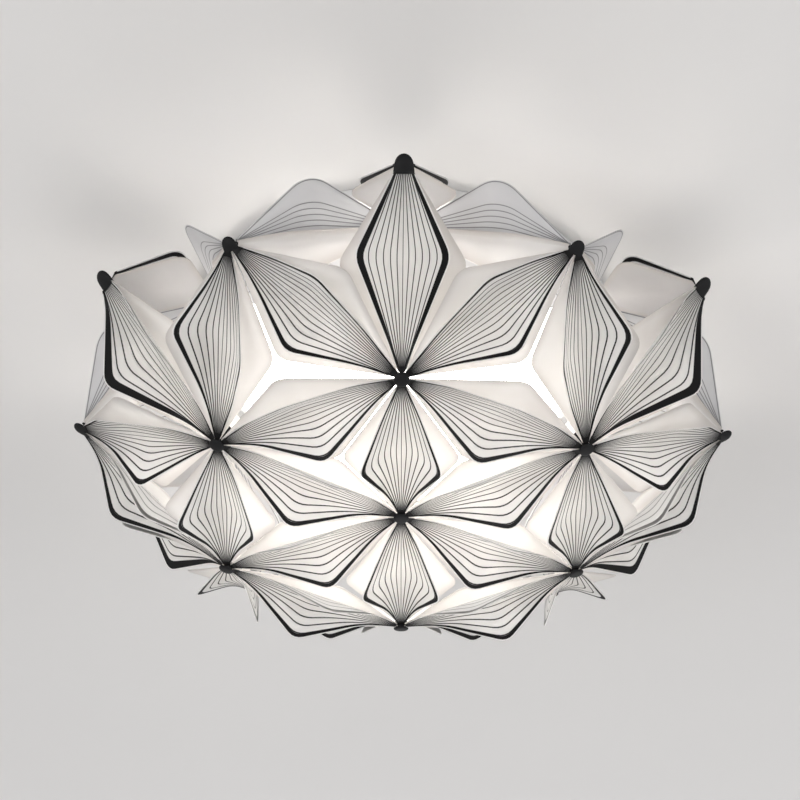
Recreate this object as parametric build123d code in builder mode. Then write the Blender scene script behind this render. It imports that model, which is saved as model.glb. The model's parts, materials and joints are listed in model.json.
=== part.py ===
"""Flush mount ceiling light: a steel pan with an LED tray and an opal bowl, and a shade of
paired petals that hangs from the pan on magnets.

Millimetres, +Z up. The origin is the centre of the pan's face against the ceiling, so the
light hangs below z = 0. The side that is seen first faces -Y.
"""
import os
from math import cos, radians, sin, tan

from build123d import *

os.makedirs("parts", exist_ok=True)

# Lattice of the shade: radius of each ring of hubs, and its height above the lowest hub
ring_radius = 200.0
ring_height = 8.7
side_radius = 318.8
side_height = 104.2
corner_radius = 330.7
corner_height = 156.2
top_radius = 209.0
top_height = 186.0
sectors = 6
hang = 240.0

# Sheets of the petals: each has a valley from tip to tip, soft or creased, and two wings
sheet_thickness = 0.8
sheet_gap = 0.3
tip_half_width = 2.6
tip_setback = 6.0
side_tip_half_width = 3.8
corner_tip_half_width = 8.0
steep_tip_setback = 8.0

# Printed petals of the lower shade: the spread is half the width over the length of the pair
printed_spread = 0.1975
slope_printed_spread = 0.204
rim_printed_spread = 0.224
printed_lean = 48.0
printed_fold = 25.0
printed_corner = 24.0

# White petals of the lower shade
white_spread = 0.2825
slope_white_spread = 0.247
rim_white_spread = 0.296
white_lean = 11.3
white_corner = 18.0

# Petals from the corners up to the top hubs
upper_printed_spread = 0.359
upper_printed_lean = 20.0
upper_white_spread = 0.431
upper_white_lean = 4.5
upper_corner = 16.0

# Petals from the side hubs up to the top hubs
eave_printed_spread = 0.34
eave_printed_lean = 5.0
eave_white_spread = 0.35
eave_white_lean = -8.0
eave_corner = 36.0

# Where a petal is widest, as a share of the way along its pair
middle_widest = 0.5
slope_widest = 0.56
rim_widest = 0.57
eave_widest = 0.385

# How far the outward face of a petal pair leans: -90 faces the floor, 90 the ceiling
bottom_facing = -90.0
ring_facing = -81.0
slope_facing = -59.0
rim_facing = -45.0
upper_facing = 60.0
eave_facing = 126.0

# Hubs: the petals' tips lie on the tongues of a core, and a cap covers them
seat_clearance = 0.4
tongue_start = 2.5
tongue_end = 13.0
tongue_width = 4.0
tongue_thickness = 1.6
post_across = 7.0
post_depth = 7.0
cap_lift = 0.5
cap_across = 16.0
cap_height = 2.4
cap_taper = 20.0

# Side and corner hubs stick out, and their caps are blunt noses that sink in between the tips
nose_tongue_start = 6.5
nose_side = 4.5
nose_crown = 6.0
nose_taper = 35.0
side_nose_across = 16.0
side_nose_sink = 2.2
corner_nose_across = 20.0
corner_nose_sink = 4.6

# Steel ring that carries the top hubs by a foot on each
frame_outer_radius = 200.0
frame_width = 14.0
frame_thickness = 2.0
foot_width = 6.0
foot_thickness = 2.0
foot_overlap = 10.0

# Three magnet brackets, welded to the frame ring
bracket_count = 3
bracket_width = 24.0
bracket_inset = 1.0
bracket_sheet = 2.0
bracket_foot = 10.0
bracket_flange = 19.0
magnet_radius = 8.5
magnet_thickness = 5.0
magnet_gap = 0.3
magnet_edge = 1.0

# Ceiling pan
pan_radius = 210.0
pan_depth = 14.0
pan_wall = 1.5
ceiling_hole_count = 3
ceiling_hole_circle = 380.0
ceiling_hole_radius = 2.75
cable_hole_radius = 11.0

# Rubber grommet in the cable hole
grommet_bore = 6.0
grommet_flange = 15.0
grommet_lip = 2.0
grommet_clearance = 0.2

# LED tray on hexagonal spacers
tray_radius = 150.0
tray_drop = 30.0
tray_thickness = 1.5
tray_hole_radius = 20.0
spacer_count = 3
spacer_circle = 240.0
spacer_across = 9.0

# One LED board with a round middle and six spokes, under the tray
board_middle = 33.0
board_reach = 132.0
board_width = 18.0
board_thickness = 1.6
led_per_spoke = 4
led_size = 5.0
led_height = 0.9
led_first = 48.0
led_pitch = 24.0
plug_size = 12.0
plug_height = 11.0

# Driver between the pan and the tray
driver_length = 112.0
driver_width = 42.0
driver_height = 20.0
driver_offset = 62.0
driver_chamfer = 3.0
driver_ear = 9.0
driver_ear_thickness = 2.0

# Terminal block, earth post and the wires between them
terminal_length = 40.0
terminal_width = 18.0
terminal_height = 14.0
terminal_offset = 52.0
terminal_poles = 3
terminal_pitch = 11.0
terminal_entry_across = 3.6
terminal_entry_depth = 7.0
terminal_screw_across = 4.8
terminal_screw_length = 4.0
terminal_well_depth = 6.0
terminal_well_clearance = 0.2
earth_post_size = 8.0
earth_post_height = 12.0
earth_post_offset = 46.0
earth_screw_across = 4.0
earth_screw_head_across = 7.0
earth_screw_head_height = 2.6
earth_screw_reach = 6.0
screw_clearance = 0.15
wire_across = 2.4
wire_bend = 12.0
wire_drop = 5.0
lead_spacing = 6.0

# Opal bowl over the LEDs, held by three spring clips that are welded to the pan
bowl_radius = 168.0
bowl_wall = 2.0
bowl_lip = 6.0
bowl_lip_thickness = 2.0
bowl_lip_drop = 24.0
bowl_shoulder_radius = 158.0
bowl_shoulder_drop = 96.0
bowl_floor_radius = 118.0
bowl_depth = 132.0
clip_count = 3
clip_width = 16.0
clip_sheet = 1.5
clip_foot = 16.0
clip_hook = 6.0
clip_clearance = 0.4

half_sector = 180.0 / sectors
front = -90.0


def export(label, group):
    """Name a finished piece, or a group of alike pieces, and write it."""
    group.part.label = label
    export_step(group.part, f"parts/{label}.step")


# Places of the hubs

def hub_point(radius, height, steps):
    """A hub's centre, at a number of half sectors round from the front."""
    turn = radians(front + steps * half_sector)
    return Vector(radius * cos(turn), radius * sin(turn), height - hang)


bottom_point = hub_point(0, 0, 0)
ring_point = hub_point(ring_radius, ring_height, 0)
side_point = hub_point(side_radius, side_height, 1)
corner_point = hub_point(corner_radius, corner_height, 0)
top_point = hub_point(top_radius, top_height, 0)


def pair_plane(start, end, facing):
    """Plane of a petal pair: X runs along it and Z is its outward face."""
    along = (end - start).normalized()
    middle = (start + end) * 0.5
    outwards = Vector(middle.X, middle.Y, 0).normalized()
    lean = radians(facing)
    face = outwards * cos(lean) + Vector(0, 0, sin(lean))
    normal = (face - along * face.dot(along)).normalized()
    return Plane(origin=start, x_dir=along, z_dir=normal)


# One petal

def petal(length, widest, half_width, lean, fold, corner, seat, tips):
    """Thin sheet along X, with a setback and a half width at each of its tips. Its valley
    line lies at the seat height, and its wings lean up, or down where the lean is negative.
    A fold of 0 is a sharp crease."""
    (setback, start_half), (stop_setback, stop_half) = tips
    start, stop = setback, length - stop_setback
    crease = seat - fold * (1 / cos(radians(lean)) - 1)
    edge = half_width + sheet_thickness
    rise = edge * tan(radians(lean))
    section = [(-edge, crease + rise), (0, crease), (edge, crease + rise)]
    with BuildPart() as sheet:
        with BuildSketch(Plane.YZ):
            with BuildLine():
                if fold:
                    FilletPolyline(*section, radius=fold)
                else:
                    Polyline(*section)
            trace(line_width=sheet_thickness)
        extrude(amount=length)
        with BuildSketch() as outline:
            with BuildLine():
                Polyline(
                    (start, start_half),
                    (widest, half_width),
                    (stop, stop_half),
                    (stop, -stop_half),
                    (widest, -half_width),
                    (start, -start_half),
                    close=True,
                )
            make_face()
            corners = outline.vertices().sort_by(Axis.Y)
            fillet([corners[0], corners[-1]], radius=corner)
        extrude(amount=2 * half_width, both=True, mode=Mode.INTERSECT)
    return sheet.part


printed_seat = sheet_thickness / 2
fold_dip = printed_fold * (1 / cos(radians(white_lean)) - 1)
white_seat = -sheet_gap - sheet_thickness / 2 - fold_dip


def petal_group(label, pairs, facing, tips, widest, seat, spread, lean, fold, corner):
    """All alike petals of the lattice: each pair in the list, turned round the light.
    The widest place and the spread are shares of the pair's length."""
    with BuildPart() as group:
        for start, end in pairs:
            length = (end - start).length
            sheet = petal(length, widest * length, spread * length, lean, fold, corner, seat, tips)
            placed = pair_plane(start, end, facing).location * sheet
            with PolarLocations(0, sectors):
                add(placed, clean=False)
    export(label, group)


plain_tip = (tip_setback, tip_half_width)
side_tip = (steep_tip_setback, side_tip_half_width)
corner_tip = (steep_tip_setback, corner_tip_half_width)
upper_tip = (steep_tip_setback, tip_half_width)
lower_families = {
    "bottom": (
        [(bottom_point, ring_point)], bottom_facing,
        (plain_tip, plain_tip), middle_widest, printed_spread, white_spread,
    ),
    "ring": (
        [(ring_point, hub_point(ring_radius, ring_height, 2))], ring_facing,
        (plain_tip, plain_tip), middle_widest, printed_spread, white_spread,
    ),
    "slope": (
        [(ring_point, side_point), (ring_point, hub_point(side_radius, side_height, -1))], slope_facing,
        (plain_tip, side_tip), slope_widest, slope_printed_spread, slope_white_spread,
    ),
    "rim": (
        [(ring_point, corner_point)], rim_facing,
        (plain_tip, corner_tip), rim_widest, rim_printed_spread, rim_white_spread,
    ),
}
for family, (pairs, facing, tips, widest, outer_spread, inner_spread) in lower_families.items():
    petal_group(
        f"printed_petals_{family}", pairs, facing, tips, widest, printed_seat,
        outer_spread, printed_lean, printed_fold, printed_corner,
    )
    petal_group(
        f"white_petals_{family}", pairs, facing, tips, widest, white_seat,
        inner_spread, white_lean, 0, white_corner,
    )

upper_place = ([(corner_point, top_point)], upper_facing, (upper_tip, plain_tip), middle_widest)
petal_group(
    "printed_petals_upper", *upper_place, printed_seat,
    upper_printed_spread, upper_printed_lean, 0, upper_corner,
)
petal_group(
    "white_petals_upper", *upper_place, white_seat,
    upper_white_spread, upper_white_lean, 0, upper_corner,
)

eave_pairs = [(side_point, top_point), (side_point, hub_point(top_radius, top_height, 2))]
eave_place = (eave_pairs, eave_facing, (upper_tip, plain_tip), eave_widest)
petal_group(
    "printed_petals_eave", *eave_place, printed_seat,
    eave_printed_spread, eave_printed_lean, 0, eave_corner,
)
petal_group(
    "white_petals_eave", *eave_place, white_seat,
    eave_white_spread, eave_white_lean, 0, eave_corner,
)


# Hubs: a core inside the petals' tips and a cap outside them

tongue_seat = sheet_thickness / 2 - white_seat + seat_clearance
button = (cap_across, sheet_thickness + cap_lift, 0, cap_height, cap_taper)
side_nose = (side_nose_across, -side_nose_sink, nose_side, nose_crown, nose_taper)
corner_nose = (corner_nose_across, -corner_nose_sink, nose_side, nose_crown, nose_taper)


def hexagon(across):
    """Hexagon with this distance between its flat sides."""
    RegularPolygon(across / 2, 6, major_radius=False)


def hub_core(hub_plane, arms, start, cap_seat, foot=None):
    """Post up to its cap, with one tongue under each pair of tips."""
    with BuildPart() as core:
        for arm in arms:
            with BuildSketch(arm.offset(-tongue_seat)):
                with Locations(((start + tongue_end) / 2, 0)):
                    Rectangle(tongue_end - start, tongue_width)
            extrude(amount=-tongue_thickness)
        with BuildSketch(hub_plane.offset(-post_depth)):
            hexagon(post_across)
        extrude(amount=post_depth + cap_seat)
        if foot:
            add(foot)
    return core.part


def hub_cap(hub_plane, across, cap_seat, side, crown, taper):
    """Hexagonal cap on top of the post: straight sides on a nose, then a crown that slants in."""
    with BuildPart() as cap:
        if side:
            with BuildSketch(hub_plane.offset(cap_seat)):
                hexagon(across)
            extrude(amount=side)
        with BuildSketch(hub_plane.offset(cap_seat + side)):
            hexagon(across)
        extrude(amount=crown, taper=taper)
    return cap.part


def hub_group(core_label, cap_label, hub_plane, arms, start, cap, count, foot=None):
    """A ring of cores and a ring of caps."""
    core = hub_core(hub_plane, arms, start, cap[1], foot)
    for label, piece in ((core_label, core), (cap_label, hub_cap(hub_plane, *cap))):
        with BuildPart() as group:
            with PolarLocations(0, count):
                add(piece, clean=False)
        export(label, group)


def convex_plane(center, arms):
    """Plane of a hub that stands out from its petals: Z points away from them all."""
    total = Vector(0, 0, 0)
    for arm in arms:
        total += arm.x_dir
    return Plane(origin=center, x_dir=arms[0].x_dir.cross(total), z_dir=-total)


bottom_arms = [
    pair_plane(bottom_point, hub_point(ring_radius, ring_height, steps), bottom_facing)
    for steps in range(0, 2 * sectors, 2)
]
bottom_plane = Plane(origin=bottom_point, x_dir=(1, 0, 0), z_dir=(0, 0, -1))
hub_group("bottom_hub", "bottom_cap", bottom_plane, bottom_arms, tongue_start, button, 1)

ring_arms = [
    pair_plane(ring_point, bottom_point, bottom_facing),
    pair_plane(ring_point, hub_point(ring_radius, ring_height, 2), ring_facing),
    pair_plane(ring_point, hub_point(ring_radius, ring_height, -2), ring_facing),
    pair_plane(ring_point, side_point, slope_facing),
    pair_plane(ring_point, hub_point(side_radius, side_height, -1), slope_facing),
    pair_plane(ring_point, corner_point, rim_facing),
]
ring_plane = convex_plane(ring_point, ring_arms)
hub_group("ring_hubs", "ring_caps", ring_plane, ring_arms, tongue_start, button, sectors)

side_arms = [
    pair_plane(side_point, ring_point, slope_facing),
    pair_plane(side_point, hub_point(ring_radius, ring_height, 2), slope_facing),
    pair_plane(side_point, top_point, eave_facing),
    pair_plane(side_point, hub_point(top_radius, top_height, 2), eave_facing),
]
side_plane = convex_plane(side_point, side_arms)
hub_group("side_hubs", "side_caps", side_plane, side_arms, nose_tongue_start, side_nose, sectors)

corner_arms = [
    pair_plane(corner_point, ring_point, rim_facing),
    pair_plane(corner_point, top_point, upper_facing),
]
corner_plane = convex_plane(corner_point, corner_arms)
hub_group(
    "corner_hubs", "corner_caps", corner_plane, corner_arms, nose_tongue_start, corner_nose, sectors,
)

top_arms = [
    pair_plane(top_point, corner_point, upper_facing),
    pair_plane(top_point, side_point, eave_facing),
    pair_plane(top_point, hub_point(side_radius, side_height, -1), eave_facing),
]
frame_top = top_height - hang - tongue_seat - foot_thickness
foot_inner = frame_outer_radius - foot_overlap
foot_plane = Plane(origin=(0, 0, frame_top), x_dir=(0, -1, 0), z_dir=(0, 0, 1))
with BuildPart() as foot:
    with BuildSketch(foot_plane):
        with Locations(((foot_inner + top_radius) / 2, 0)):
            Rectangle(top_radius - foot_inner, foot_width)
    extrude(amount=foot_thickness)
top_plane = Plane(origin=top_point, x_dir=(1, 0, 0), z_dir=(0, 0, 1))
hub_group("top_hubs", "top_caps", top_plane, top_arms, tongue_start, button, sectors, foot.part)


# Frame ring and its magnet brackets

frame_bottom = frame_top - frame_thickness
frame_inner_radius = frame_outer_radius - frame_width
bracket_start = front + half_sector
bracket_inner = frame_inner_radius + bracket_inset
bracket_top = -pan_wall - magnet_gap - magnet_thickness

with BuildPart() as frame_ring:
    with BuildSketch(Plane.XY.offset(frame_bottom)):
        Circle(frame_outer_radius)
        Circle(frame_inner_radius, mode=Mode.SUBTRACT)
    extrude(amount=frame_thickness)
export("frame_ring", frame_ring)

with BuildPart() as bracket:
    with BuildSketch(Plane.XZ):
        with BuildLine():
            Polyline(
                (bracket_inner, frame_top),
                (bracket_inner + bracket_sheet + bracket_foot, frame_top),
                (bracket_inner + bracket_sheet + bracket_foot, frame_top + bracket_sheet),
                (bracket_inner + bracket_sheet, frame_top + bracket_sheet),
                (bracket_inner + bracket_sheet, bracket_top - bracket_sheet),
                (bracket_inner + bracket_flange, bracket_top - bracket_sheet),
                (bracket_inner + bracket_flange, bracket_top),
                (bracket_inner, bracket_top),
                close=True,
            )
        make_face()
    extrude(amount=bracket_width / 2, both=True)

with BuildPart() as magnet_brackets:
    with PolarLocations(0, bracket_count, start_angle=bracket_start):
        add(bracket.part)
export("magnet_brackets", magnet_brackets)

magnet_circle = bracket_inner + bracket_flange - magnet_radius - magnet_edge
with BuildPart() as magnets:
    with BuildSketch(Plane.XY.offset(bracket_top)):
        with PolarLocations(magnet_circle, bracket_count, start_angle=bracket_start):
            Circle(magnet_radius)
    extrude(amount=magnet_thickness)
export("holding_magnets", magnets)


# Ceiling pan and its grommet

with BuildPart() as ceiling_pan:
    with BuildSketch(Plane.XY):
        Circle(pan_radius)
    extrude(amount=-pan_depth)
    offset(amount=-pan_wall, openings=ceiling_pan.faces().sort_by(Axis.Z)[0], kind=Kind.INTERSECTION)
    with BuildSketch(Plane.XY):
        Circle(cable_hole_radius)
        with PolarLocations(ceiling_hole_circle / 2, ceiling_hole_count):
            Circle(ceiling_hole_radius)
    extrude(amount=-pan_wall, mode=Mode.SUBTRACT)
export("ceiling_pan", ceiling_pan)

with BuildPart() as grommet:
    with BuildSketch(Plane.XY.offset(-pan_wall)):
        Circle(grommet_flange)
    extrude(amount=-grommet_lip)
    with BuildSketch(Plane.XY.offset(-pan_wall)):
        Circle(cable_hole_radius - grommet_clearance)
    extrude(amount=pan_wall)
    with BuildSketch(Plane.XY):
        Circle(grommet_bore)
    extrude(amount=-pan_wall - grommet_lip, mode=Mode.SUBTRACT)
export("cable_grommet", grommet)


# LED tray and its spacers

tray_top = -tray_drop
tray_bottom = tray_top - tray_thickness

with BuildPart() as led_tray:
    with BuildSketch(Plane.XY.offset(tray_top)):
        Circle(tray_radius)
        Circle(tray_hole_radius, mode=Mode.SUBTRACT)
    extrude(amount=-tray_thickness)
export("led_tray", led_tray)

with BuildPart() as tray_spacers:
    with BuildSketch(Plane.XY.offset(-pan_wall)):
        with PolarLocations(spacer_circle / 2, spacer_count, start_angle=-front):
            hexagon(spacer_across)
    extrude(amount=-(tray_drop - pan_wall))
export("tray_spacers", tray_spacers)


# LED board, its LEDs and its plug

board_top = tray_bottom
board_bottom = board_top - board_thickness
with BuildPart() as led_board:
    with BuildSketch(Plane.XY.offset(board_top)):
        Circle(board_middle)
        with PolarLocations(0, sectors, start_angle=front + half_sector):
            with Locations((board_reach / 2, 0)):
                Rectangle(board_reach, board_width)
    extrude(amount=-board_thickness)
export("led_board", led_board)

led_places = [(led_first + step * led_pitch, 0) for step in range(led_per_spoke)]
with BuildPart() as leds:
    with BuildSketch(Plane.XY.offset(board_bottom)):
        with PolarLocations(0, sectors, start_angle=front + half_sector):
            with Locations(*led_places):
                Rectangle(led_size, led_size)
    extrude(amount=-led_height)
export("leds", leds)

with BuildPart() as board_plug:
    with BuildSketch(Plane.XY.offset(board_top)):
        Rectangle(plug_size, plug_size)
    extrude(amount=plug_height)
export("board_plug", board_plug)


# Driver and its leads

driver_near = -driver_offset + driver_width / 2
with BuildPart() as led_driver:
    with BuildSketch(Plane.XY.offset(tray_top)):
        with Locations((0, -driver_offset)):
            Rectangle(driver_length, driver_width)
    extrude(amount=driver_height)
    chamfer(led_driver.edges().filter_by(Axis.Z), length=driver_chamfer)
    with BuildSketch(Plane.XY.offset(tray_top)):
        with Locations((0, -driver_offset)):
            Rectangle(driver_length + 2 * driver_ear, driver_width / 2)
    extrude(amount=driver_ear_thickness)
export("led_driver", led_driver)

lead_height = (tray_top + board_top + plug_height) / 2
lead_start = -plug_size / 2
with BuildPart() as led_leads:
    with BuildSketch(Plane.XZ.offset(-lead_start)):
        with Locations((-lead_spacing / 2, lead_height), (lead_spacing / 2, lead_height)):
            hexagon(wire_across)
    extrude(amount=lead_start - driver_near)
export("led_leads", led_leads)


# Terminal block, earth post and mains wires

wire_height = -pan_wall - wire_drop
terminal_bottom = -pan_wall - terminal_height
terminal_near = terminal_offset - terminal_width / 2
pole_places = [
    ((pole - (terminal_poles - 1) / 2) * terminal_pitch, terminal_offset)
    for pole in range(terminal_poles)
]
with BuildPart() as terminal_block:
    with BuildSketch(Plane.XY.offset(-pan_wall)):
        with Locations((0, terminal_offset)):
            Rectangle(terminal_length, terminal_width)
    extrude(amount=-terminal_height)
    with BuildSketch(Plane.XY.offset(terminal_bottom)):
        with Locations(*pole_places):
            hexagon(terminal_screw_across + 2 * terminal_well_clearance)
    extrude(amount=terminal_well_depth, mode=Mode.SUBTRACT)
    with BuildSketch(Plane.XZ.offset(-terminal_offset - terminal_width / 2)):
        with Locations(*[(x, wire_height) for x, y in pole_places]):
            hexagon(terminal_entry_across)
    extrude(amount=terminal_entry_depth, mode=Mode.SUBTRACT)
export("terminal_block", terminal_block)

with BuildPart() as terminal_screws:
    with BuildSketch(Plane.XY.offset(terminal_bottom + terminal_well_depth)):
        with Locations(*pole_places):
            hexagon(terminal_screw_across)
    extrude(amount=-terminal_screw_length)
export("terminal_screws", terminal_screws)

earth_y = terminal_near - 2 * wire_bend
with BuildPart() as earth_post:
    with BuildSketch(Plane.XY.offset(-pan_wall)):
        with Locations((-earth_post_offset, earth_y)):
            Rectangle(earth_post_size, earth_post_size)
    extrude(amount=-earth_post_height)
    with BuildSketch(Plane.XY.offset(-pan_wall - earth_post_height)):
        with Locations((-earth_post_offset, earth_y)):
            hexagon(earth_screw_across + 2 * screw_clearance)
    extrude(amount=earth_screw_reach, mode=Mode.SUBTRACT)
export("earth_post", earth_post)

with BuildPart() as earth_screw:
    with BuildSketch(Plane.XY.offset(-pan_wall - earth_post_height)):
        with Locations((-earth_post_offset, earth_y)):
            hexagon(earth_screw_head_across)
    extrude(amount=-earth_screw_head_height)
    with BuildSketch(Plane.XY.offset(-pan_wall - earth_post_height)):
        with Locations((-earth_post_offset, earth_y)):
            hexagon(earth_screw_across)
    extrude(amount=earth_screw_reach - screw_clearance)
export("earth_screw", earth_screw)


def wire(label, route):
    """Wire along straight runs with a soft bend at each corner."""
    with BuildPart() as solid:
        with BuildLine() as path:
            FilletPolyline(*route, radius=wire_bend)
        with BuildSketch(Plane(origin=path.line @ 0, z_dir=path.line % 0)):
            hexagon(wire_across)
        sweep()
    export(label, solid)


wire_reach = terminal_near - driver_near
for label, x in (("live_wire", pole_places[1][0]), ("neutral_wire", pole_places[2][0])):
    wire(label, [
        (x, terminal_near, wire_height),
        (x, terminal_near - wire_reach / 3, wire_height),
        (x, driver_near + wire_reach / 3, tray_top + driver_height / 2),
        (x, driver_near, tray_top + driver_height / 2),
    ])
earth_x = pole_places[0][0]
wire("earth_wire", [
    (earth_x, terminal_near, wire_height),
    (earth_x, earth_y, wire_height),
    (-earth_post_offset + earth_post_size / 2, earth_y, wire_height),
])


# Opal bowl and its clips

lip_bottom = -bowl_lip_drop - bowl_lip_thickness
lip_radius = bowl_radius + bowl_lip
clip_leg = lip_radius + clip_clearance
with BuildPart() as opal_bowl:
    with BuildSketch(Plane.XZ):
        with BuildLine():
            Polyline(
                (bowl_radius, -bowl_lip_drop),
                (bowl_shoulder_radius, -bowl_shoulder_drop),
                (bowl_floor_radius, -bowl_depth),
                (0, -bowl_depth),
                (0, -bowl_lip_drop),
                close=True,
            )
        make_face()
    revolve(axis=Axis.Z)
    offset(amount=-bowl_wall, openings=opal_bowl.faces().sort_by(Axis.Z)[-1], kind=Kind.INTERSECTION)
    with BuildSketch(Plane.XY.offset(-bowl_lip_drop)):
        Circle(lip_radius)
        Circle(bowl_radius - bowl_wall / 2, mode=Mode.SUBTRACT)
    extrude(amount=-bowl_lip_thickness)
export("opal_bowl", opal_bowl)

with BuildPart() as clip:
    with BuildSketch(Plane.XZ):
        with BuildLine():
            Polyline(
                (clip_leg + clip_sheet, -pan_wall),
                (clip_leg + clip_sheet, lip_bottom - clip_sheet),
                (clip_leg - clip_hook, lip_bottom - clip_sheet),
                (clip_leg - clip_hook, lip_bottom),
                (clip_leg, lip_bottom),
                (clip_leg, -pan_wall - clip_sheet),
                (clip_leg - clip_foot, -pan_wall - clip_sheet),
                (clip_leg - clip_foot, -pan_wall),
                close=True,
            )
        make_face()
    extrude(amount=clip_width / 2, both=True)

with BuildPart() as bowl_clips:
    with PolarLocations(0, clip_count, start_angle=-front):
        add(clip.part)
export("bowl_clips", bowl_clips)
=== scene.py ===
# %% [markdown]
# A round ceiling light with a shade of folded petals. The petals are thin sheets in pairs: the
# outer sheet is printed with fine lines and a dark edge, and the inner one is plain white and
# wider. They meet at small black hubs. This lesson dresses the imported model: it gives every
# sheet its fold, its print and its glow, and every hidden part its finish.
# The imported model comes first, because all sizes and places hang on it.

import json
import math

import bmesh
import bpy
from mathutils import Matrix, Vector


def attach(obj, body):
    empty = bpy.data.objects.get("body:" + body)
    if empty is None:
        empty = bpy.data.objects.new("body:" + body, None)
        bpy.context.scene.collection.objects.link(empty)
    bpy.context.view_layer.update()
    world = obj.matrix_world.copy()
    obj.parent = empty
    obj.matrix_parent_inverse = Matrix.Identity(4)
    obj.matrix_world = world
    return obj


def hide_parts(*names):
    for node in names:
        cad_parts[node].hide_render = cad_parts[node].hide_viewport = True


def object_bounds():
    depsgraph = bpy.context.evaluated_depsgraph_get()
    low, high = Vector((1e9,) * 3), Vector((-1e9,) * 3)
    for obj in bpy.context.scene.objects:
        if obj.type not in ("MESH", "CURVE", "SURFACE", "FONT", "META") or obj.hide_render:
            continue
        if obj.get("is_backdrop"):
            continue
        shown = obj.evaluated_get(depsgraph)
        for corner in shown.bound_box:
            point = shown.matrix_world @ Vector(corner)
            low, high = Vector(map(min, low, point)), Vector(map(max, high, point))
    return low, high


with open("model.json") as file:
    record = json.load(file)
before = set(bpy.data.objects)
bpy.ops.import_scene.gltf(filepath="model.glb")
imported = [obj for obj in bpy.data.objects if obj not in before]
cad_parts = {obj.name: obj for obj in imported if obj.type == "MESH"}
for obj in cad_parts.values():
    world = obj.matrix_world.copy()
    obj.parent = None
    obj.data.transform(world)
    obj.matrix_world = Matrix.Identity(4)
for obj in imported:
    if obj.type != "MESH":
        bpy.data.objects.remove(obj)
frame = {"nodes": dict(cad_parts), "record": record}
cad_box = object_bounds()
nodes = frame["nodes"]
MM = 0.001
print("nodes:", len(nodes), "box:", [round(side, 4) for side in cad_box[1] - cad_box[0]])

# %% [markdown]
# The light is seen from below and in front, from about three metres off. A long lens from that
# far keeps the petals at the back as large as they should be. The camera could be aimed with a
# constraint, but a matrix built from its three directions holds the small roll as well.

# %% Camera
CAMERA_PLACE = Vector((0.01827, -2.27032, -1.91725))
CAMERA_YAW = math.radians(-0.53834)
CAMERA_PITCH = math.radians(38.74607)
CAMERA_ROLL = math.radians(0.97639)
LENS = 131.616
SENSOR = 36.0

sight = Vector((
    math.sin(CAMERA_YAW) * math.cos(CAMERA_PITCH),
    math.cos(CAMERA_YAW) * math.cos(CAMERA_PITCH),
    math.sin(CAMERA_PITCH),
))
level = sight.cross(Vector((0, 0, 1))).normalized()
above = level.cross(sight)
right = level * math.cos(CAMERA_ROLL) + above * math.sin(CAMERA_ROLL)
upright = above * math.cos(CAMERA_ROLL) - level * math.sin(CAMERA_ROLL)

camera_data = bpy.data.cameras.new("camera")
camera_data.lens = LENS
camera_data.sensor_width = SENSOR
camera = bpy.data.objects.new("camera", camera_data)
camera_turn = Matrix((right, upright, -sight)).transposed().to_4x4()
camera.matrix_world = Matrix.Translation(CAMERA_PLACE) @ camera_turn
bpy.context.scene.collection.objects.link(camera)
bpy.context.scene.camera = camera
bpy.context.scene.view_settings.view_transform = "Standard"
print("camera looks up by", round(math.degrees(CAMERA_PITCH), 1), "degrees")

# %% [markdown]
# A material is a small graph of nodes. Most finishes here need the same few steps: a node of
# some kind, a sum or a product, a soft step between two values. Nodes can be wired by hand in
# the Shader Editor too, but short helpers keep each finish readable and easy to change.

# %% Helpers for materials


def join(graph, value, socket):
    """Feed a socket from another node's output, or set it to a plain value."""
    if isinstance(value, bpy.types.NodeSocket):
        graph.links.new(value, socket)
    else:
        socket.default_value = value


def node(graph, kind, **settings):
    """A new node with these settings."""
    made = graph.nodes.new(kind)
    for name, value in settings.items():
        setattr(made, name, value)
    return made


def calc(graph, operation, first, second=0.0, third=0.0):
    """One step of arithmetic."""
    made = node(graph, "ShaderNodeMath", operation=operation)
    for socket, value in zip(made.inputs, (first, second, third)):
        join(graph, value, socket)
    return made.outputs[0]


def soft_step(graph, value, low, high):
    """0 below low, 1 above high, and a smooth change between them."""
    made = node(graph, "ShaderNodeMapRange", interpolation_type="SMOOTHSTEP")
    for name, part in (("Value", value), ("From Min", low), ("From Max", high)):
        join(graph, part, made.inputs[name])
    return made.outputs["Result"]


def between(graph, share, first, second):
    """A colour between two others: the Mix node's colours are its sockets 6 and 7."""
    made = node(graph, "ShaderNodeMix", data_type="RGBA")
    for index, part in ((0, share), (6, first), (7, second)):
        join(graph, part, made.inputs[index])
    return made.outputs[2]


def speckle(graph, scale, detail=3.0, stretch=(1, 1, 1)):
    """Noise in the object's own metres: scale is in grains per metre."""
    place = node(graph, "ShaderNodeTexCoord")
    mapping = node(graph, "ShaderNodeMapping")
    mapping.inputs["Scale"].default_value = stretch
    noise = node(graph, "ShaderNodeTexNoise")
    noise.inputs["Scale"].default_value = scale
    noise.inputs["Detail"].default_value = detail
    graph.links.new(place.outputs["Object"], mapping.inputs["Vector"])
    graph.links.new(mapping.outputs["Vector"], noise.inputs["Vector"])
    return noise.outputs["Fac"]


def relief(graph, height, strength, distance):
    """Small bumps that catch the light."""
    made = node(graph, "ShaderNodeBump")
    made.inputs["Strength"].default_value = strength
    made.inputs["Distance"].default_value = distance
    graph.links.new(height, made.inputs["Height"])
    return made.outputs["Normal"]


def fresh_material(name):
    """A material with its graph emptied down to one Principled shader and the output."""
    material = bpy.data.materials.new(name)
    material.use_nodes = True
    graph = material.node_tree
    graph.nodes.clear()
    output = node(graph, "ShaderNodeOutputMaterial")
    shader = node(graph, "ShaderNodeBsdfPrincipled")
    graph.links.new(shader.outputs[0], output.inputs["Surface"])
    return material, graph, shader, output


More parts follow.
